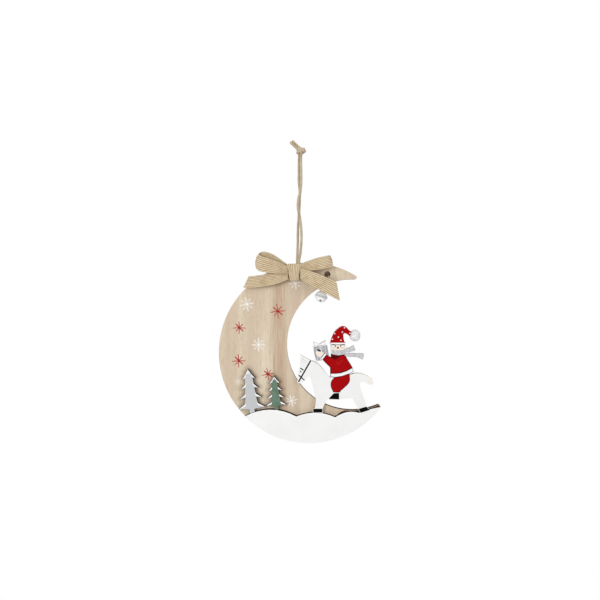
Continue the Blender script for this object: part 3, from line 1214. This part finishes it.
for index, (name, (width, stations)) in enumerate(BANDS.items()):
    steps = STATION_STEPS * (len(stations) - 1)
    samples = [between_stations(stations, i / steps) for i in range(steps + 1)]
    line = [Vector((BOW_X + s[0], BOARD_FACE - s[2], BOW_Z + s[1])) * MM for s in samples]
    rows = []
    for i, (point, sample) in enumerate(zip(line, samples)):
        ahead = (line[min(i + 1, steps)] - line[max(i - 1, 0)]).normalized()
        lean = math.radians(sample[4])
        across = Vector((-math.sin(lean), 0, math.cos(lean)))
        rows.append((point, across, ahead.cross(across).normalized()))
    shape = bmesh.new()
    add_ribbon(shape, rows, [(s[3], s[5]) for s in samples])
    bmesh.ops.recalc_face_normals(shape, faces=shape.faces)
    ribbon = new_piece(name + "_jute", shape, [ribbon_look], "moon", "jute_ribbon", name,
                       Hairs_per_m2=4.5e5, Length=1.3 * MM, Thickness=0.03 * MM, Lift=0.3, Bend=0.8,
                       Seed=21 + index)

# The wrap: a short length of the ribbon round the bow's middle, on a pad of glue on the board
WRAP_WIDTH = 11.2
WRAP_HEIGHT = 15.0
WRAP_DEPTH = 5.4
WRAP_LENGTH = 38.0
WRAP_MIDDLE = -8.2
PINCH = 0.1
FLARE = 0.55
GATHER = 0.32
PAD_WIDTH = 4.2
PAD_HEIGHT = 9.9
WRAP_STEPS = 96
CORNER_ROUNDING = 0.75
WRAP_WANDER = 0.35
WRAP_BEADS = 0.04
BEAD_TURN = 1.7
HALF_DEPTH = 3.2
FOLDS = 8
FOLD_SLANT = 0.3
EDGE_POWER = 5
THINNEST_EDGE = 0.02
EDGE_DROP = 0.1

shape = bmesh.new()
grid = shape.loops.layers.uv.verify()
rings = []
for i in range(RIBBON_COLUMNS + 1):
    u = 2 * i / RIBBON_COLUMNS - 1
    full = max(THINNEST_EDGE, 1 - abs(u) ** EDGE_POWER) ** 0.5
    ring = []
    for j in range(WRAP_STEPS):
        angle = 2 * math.pi * j / WRAP_STEPS
        square = [math.copysign(abs(v) ** CORNER_ROUNDING, v) for v in (math.cos(angle), math.sin(angle))]
        z = WRAP_HEIGHT / 2 * square[1] * (1 - EDGE_DROP + EDGE_DROP * full)
        pinch = (1 - PINCH * math.cos(math.pi * z / WRAP_HEIGHT)) * (1 + FLARE * z / WRAP_HEIGHT)
        y = WRAP_DEPTH / 2 * square[0] * full * pinch
        beads = WRAP_BEADS * math.sin(j * BEAD_TURN + i)
        lift = 1 + (rib_lift(RIBS * i / RIBBON_COLUMNS) + beads) / HALF_DEPTH
        wave = WRAP_WANDER * noise.noise(Vector((i * 0.07, z * 0.25, 3.1)))
        fold = GATHER * math.sin(FOLDS * u + FOLD_SLANT * z) * (1 - u * u)
        point = Vector((BOW_X + WRAP_WIDTH / 2 * u * pinch + wave, WRAP_MIDDLE - y * lift - fold, BOW_Z + z))
        ring.append(shape.verts.new(point * MM))
    rings.append(ring)
for i, (left, right) in enumerate(zip(rings, rings[1:])):
    for j in range(WRAP_STEPS):
        k = (j + 1) % WRAP_STEPS
        face = shape.faces.new((left[j], right[j], right[k], left[k]))
        face.smooth = True
        for loop, (column, turn) in zip(face.loops, ((i, j), (i + 1, j), (i + 1, j + 1), (i, j + 1))):
            loop[grid].uv = (RIBS * column / RIBBON_COLUMNS, turn / WRAP_STEPS * WRAP_LENGTH * MM)
for ring in (rings[0], rings[-1]):
    fan(shape, ring)
for vert in bmesh.ops.create_cube(shape, size=1.0)["verts"]:
    vert.co.x = (BOW_X - WRAP_WIDTH / 2 + PAD_WIDTH * (0.5 + vert.co.x)) * MM
    vert.co.y = (WRAP_MIDDLE + (BOARD_FACE - WRAP_MIDDLE) * (0.5 + vert.co.y)) * MM
    vert.co.z = (BOW_Z + PAD_HEIGHT * vert.co.z) * MM
bmesh.ops.recalc_face_normals(shape, faces=shape.faces)
wrap = new_piece("bow_wrap_jute", shape, [ribbon_look], "moon", "jute_ribbon", "bow_wrap",
                 Hairs_per_m2=5e5, Length=1.2 * MM, Thickness=0.03 * MM, Lift=0.3, Bend=0.8, Seed=31)


# Jingle bell: two pressed half shells of thin steel, enamelled white and crimped together round the
# middle, with a slot that ends in round holes, a wire eye on top and a loose steel ball inside.
BELL_HOLE = Vector((24.454, 0, -106.437))
BELL_HANG = 20.829
BELL_LEAN = 15
BELL_RADIUS = 5.5
BELL_WALL = 0.5
BELL_RIM = 0.45
BELL_RIM_HEIGHT = 0.9
BELL_RIM_CHAMFER = 0.12
BELL_RIM_TOP_CHAMFER = 0.25
BELL_RIM_CROWN = 0.06
BELL_SEAM_CHAMFER = 0.1
BELL_INSIDE_MARGIN = 0.2
BELL_RIM_MARGIN = 0.05
BELL_SLOT_WIDTH = 1.2
BELL_SLOT_LENGTH = 7.9
BELL_SLOT_END = 1.1
BELL_SLOT_END_OUT = 3.6
BELL_SLOT_END_DOWN = 4.1
BELL_EYE_RADIUS = 1.2
BELL_EYE_WIRE = 0.3
BELL_EYE_Z = 7.3
BELL_EYE_STEPS = 48
BELL_EYE_SIDES = 12
CLAPPER_RADIUS = 1.5
CLAPPER_DENTS = 0.012
DENTS_PER_MM = 1.3
LATHE_STEPS = 72
INNER_STEPS = 18
OUTER_STEPS = 20

hole_frame = Matrix.Translation(BELL_HOLE) @ Matrix.Rotation(math.radians(BELL_LEAN), 4, "Y")
bell_frame = hole_frame @ Matrix.Translation((0, 0, -BELL_HANG))


def placed(shape, turn):
    """Moves a shape drawn in millimetres to its place in the frame."""
    for vert in shape.verts:
        vert.co = (turn @ vert.co) * MM
    return shape


enamel_look, tree, shader, place = new_look(
    "white_enamel", roughness=0.3, Coat_Weight=1.0, Coat_Roughness=0.15)
cloud = mottle(tree, place, scale=240.0, detail=2.0)
speck = mottle(tree, place, scale=2600.0, detail=1.0)
tint = blend_colours(tree, between(tree, cloud, low=0.35, high=0.7), colour("FFFFFF"), colour("F8F8FA"))
tint = stain(tree, tint, between(tree, speck, low=0.7, high=0.76), depth=0.6, code="9A9CA1")
finish_surface(tree, shader, tint, cloud, strength=0.15, distance=0.2)


def steel_look(name, tone, roughness):
    """Plated or bare steel, dulled here and there by fine scuffs."""
    look, tree, shader, place = new_look(name, roughness, Metallic=1.0)
    scuff = mottle(tree, place, scale=1500.0, detail=3.0)
    tint = blend_colours(tree, between(tree, scuff, low=0.3, high=0.7), colour(tone), colour("8E9196"))
    tree.links.new(tint, shader.inputs["Base Color"])
    vary_roughness(tree, shader, scuff, spread=0.3, least=roughness - 0.1)
    return look


rim_look = painted_look("enamelled_rim", "E2E5E9", "D0D4D9", roughness=0.35)
inner_look = steel_look("bell_inside", "5E6066", roughness=0.5)
wire_look = steel_look("plated_wire", "C9CBCF", roughness=0.25)


def half_shell(side):
    """A half shell turned on a lathe, in the bell's own frame; side is 1 above and -1 below."""
    inner = BELL_RADIUS - BELL_WALL
    seam = CLEARANCE / 2
    rim = BELL_RADIUS + BELL_RIM
    start = math.asin(BELL_RIM_HEIGHT / BELL_RADIUS)
    profile = [(inner * math.cos(a), inner * math.sin(a))
               for a in (math.pi / 2 * (1 - i / INNER_STEPS) for i in range(1, INNER_STEPS))]
    profile += [(inner, seam), (rim - BELL_SEAM_CHAMFER, seam), (rim, seam + BELL_RIM_CHAMFER),
                (rim, BELL_RIM_HEIGHT - BELL_RIM_TOP_CHAMFER),
                (rim - BELL_RIM_CHAMFER, BELL_RIM_HEIGHT - BELL_RIM_CROWN)]
    profile += [(BELL_RADIUS * math.cos(a), BELL_RADIUS * math.sin(a))
                for a in (start + (math.pi / 2 - start) * i / OUTER_STEPS for i in range(OUTER_STEPS))]
    shape = bmesh.new()
    rings = [[shape.verts.new((r * math.cos(2 * math.pi * j / LATHE_STEPS),
                               r * math.sin(2 * math.pi * j / LATHE_STEPS), side * z))
              for j in range(LATHE_STEPS)] for r, z in profile]
    poles = [shape.verts.new((0, 0, side * inner)), shape.verts.new((0, 0, side * BELL_RADIUS))]
    skin(shape, rings)
    for pole, ring in zip(poles, (rings[0], rings[-1])):
        for j in range(LATHE_STEPS):
            shape.faces.new((pole, ring[j], ring[(j + 1) % LATHE_STEPS]))
    bmesh.ops.recalc_face_normals(shape, faces=shape.faces)
    for face in shape.faces:
        middle = face.calc_center_median()
        face.smooth = True
        if middle.length < inner + BELL_INSIDE_MARGIN:
            face.material_index = 2
        elif abs(middle.z) < BELL_RIM_HEIGHT + BELL_RIM_MARGIN:
            face.material_index = 1
    return shape


def cut_away(piece, cutters):
    """Cuts other shapes out of a piece and leaves it a plain mesh."""
    helpers = []
    for shape in cutters:
        helper = new_piece("cutter", shape, [])
        cut = piece.modifiers.new("slot", "BOOLEAN")
        cut.object = helper
        cut.operation = "DIFFERENCE"
        cut.solver = "EXACT"
        helpers.append(helper)
    apply_modifiers(piece)
    for helper in helpers:
        bpy.data.objects.remove(helper)


for name, side in (("bell_upper_shell", 1), ("bell_lower_shell", -1)):
    shell = new_piece(name + "_enamel", placed(half_shell(side), bell_frame),
                      [enamel_look, rim_look, inner_look])
    if side < 0:
        cutters = []
        slot = bmesh.new()
        bmesh.ops.create_cube(slot, size=1.0)
        bmesh.ops.scale(slot, vec=(BELL_SLOT_WIDTH, BELL_SLOT_LENGTH, BELL_RADIUS), verts=slot.verts)
        bmesh.ops.translate(slot, vec=(0, 0, -BELL_RADIUS), verts=slot.verts)
        cutters.append(placed(slot, bell_frame))
        for way in (-1, 1):
            end = bmesh.new()
            bmesh.ops.create_cone(end, cap_ends=True, segments=32, radius1=BELL_SLOT_END,
                                  radius2=BELL_SLOT_END, depth=BELL_RADIUS)
            middle = (0, way * BELL_SLOT_END_OUT, -BELL_SLOT_END_DOWN)
            bmesh.ops.translate(end, vec=middle, verts=end.verts)
            cutters.append(placed(end, bell_frame))
        cut_away(shell, cutters)
    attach(shell, "bell")
    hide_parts(name)

shape = bmesh.new()
rings = []
for point in hoop(BELL_EYE_RADIUS, deep=0, tall=BELL_EYE_RADIUS, steps=BELL_EYE_STEPS, tilt=0,
                  middle=(0, 0, BELL_EYE_Z)):
    out = (point - Vector((0, 0, BELL_EYE_Z))).normalized()
    ring = []
    for j in range(BELL_EYE_SIDES):
        angle = 2 * math.pi * j / BELL_EYE_SIDES
        reach = out * math.cos(angle) * BELL_EYE_WIRE + Vector((0, BELL_EYE_WIRE * math.sin(angle), 0))
        ring.append(shape.verts.new(point + reach))
    rings.append(ring)
skin(shape, rings + rings[:1])
bmesh.ops.recalc_face_normals(shape, faces=shape.faces)
new_piece("bell_eye_wire", placed(shape, bell_frame), [wire_look], "bell", "bell_steel", "bell_eye")

shape = bmesh.new()
bmesh.ops.create_icosphere(shape, subdivisions=4, radius=CLAPPER_RADIUS)
rest = BELL_RADIUS - BELL_WALL - CLAPPER_RADIUS - CLEARANCE
for vert in shape.verts:
    vert.co *= 1 + CLAPPER_DENTS * noise.noise(vert.co * DENTS_PER_MM)
    vert.co.z -= rest
for face in shape.faces:
    face.smooth = True
new_piece("bell_clapper_ball", placed(shape, bell_frame), [wire_look], "clapper", "bell_steel",
          "bell_clapper")


# Bell's twine: thin jute thread from a knot on the board's face, down to the bell's eye, up the back
# and round and round in the hole to the knot again.
THREAD_DIAMETER = 1.0
THREAD_PITCH = 3.0
THREAD_FACE = 3.3
THREAD_EYE = BELL_EYE_Z - BELL_HANG
THREAD_TURN = THREAD_EYE + 1.1
THREAD_ROUTE = [
    (0, -THREAD_FACE, -1.9), (0, -THREAD_FACE, THREAD_TURN), (0, 0, THREAD_EYE),
    (0, THREAD_FACE, THREAD_TURN), (0, THREAD_FACE, 0), (0, BOARD_FACE, 0),
]
THREAD_SIDES = 18
THREAD_STEP = 0.3
KNOT_DEPTH = -3.9
COIL_RADIUS = 1.4
COIL_DIAMETER = 1.3
COIL_DEPTHS = (-1.3, 0.2, 1.7)
COIL_STEPS = 24
COIL_PITCH = 2.4
BELL_KNOT_RADIUS = 1.35
BELL_KNOT_DEEP = 0.6
BELL_KNOT_TURNS = [(35, 0.62), (-30, 0.55)]
BELL_KNOT_STEPS = 32
BELL_KNOT_PITCH = 2.8
sooty_look = jute_look("sooty_twine", "8A7252", "5C4632", "47331F", "33241A", across=2.6, along=210.0,
                       groove_depth=0.6)

line = soft_path([hole_frame @ Vector(point) for point in THREAD_ROUTE], THREAD_STEP)
shape = bmesh.new()
add_twine(shape, line, THREAD_DIAMETER, THREAD_PITCH, THREAD_SIDES)
thread = new_piece("bell_thread_twine", shape, [twine_look], "bell_loop", "jute_twine", "bell_thread",
                   Hairs_per_m2=1e6, Length=0.5 * MM, Thickness=0.02 * MM, Lift=0.4, Bend=0.7, Seed=41)

turns = [(hoop(COIL_RADIUS, deep=0, tall=COIL_RADIUS, steps=COIL_STEPS, tilt=0, middle=(0, depth, 0)),
          COIL_DIAMETER, COIL_PITCH)
         for depth in COIL_DEPTHS]
for tilt, press in BELL_KNOT_TURNS:
    loop = hoop(BELL_KNOT_RADIUS, BELL_KNOT_DEEP, BELL_KNOT_RADIUS * press, BELL_KNOT_STEPS, tilt,
                (0, KNOT_DEPTH, 0))
    turns.append((loop, THREAD_DIAMETER * DRAWN_TIGHT, BELL_KNOT_PITCH))
shape = bmesh.new()
for loop, diameter, pitch in turns:
    line_of_turn = [(hole_frame @ point) * MM for point in loop]
    add_twine(shape, line_of_turn, diameter, pitch, THREAD_SIDES, closed=True)
thread_knot = new_piece("bell_thread_knot_twine", shape, [sooty_look], "bell_loop", "jute_twine",
                        "bell_thread_knot", Hairs_per_m2=1.5e6, Length=0.8 * MM, Thickness=0.02 * MM,
                        Lift=0.4, Bend=0.7, Seed=43)
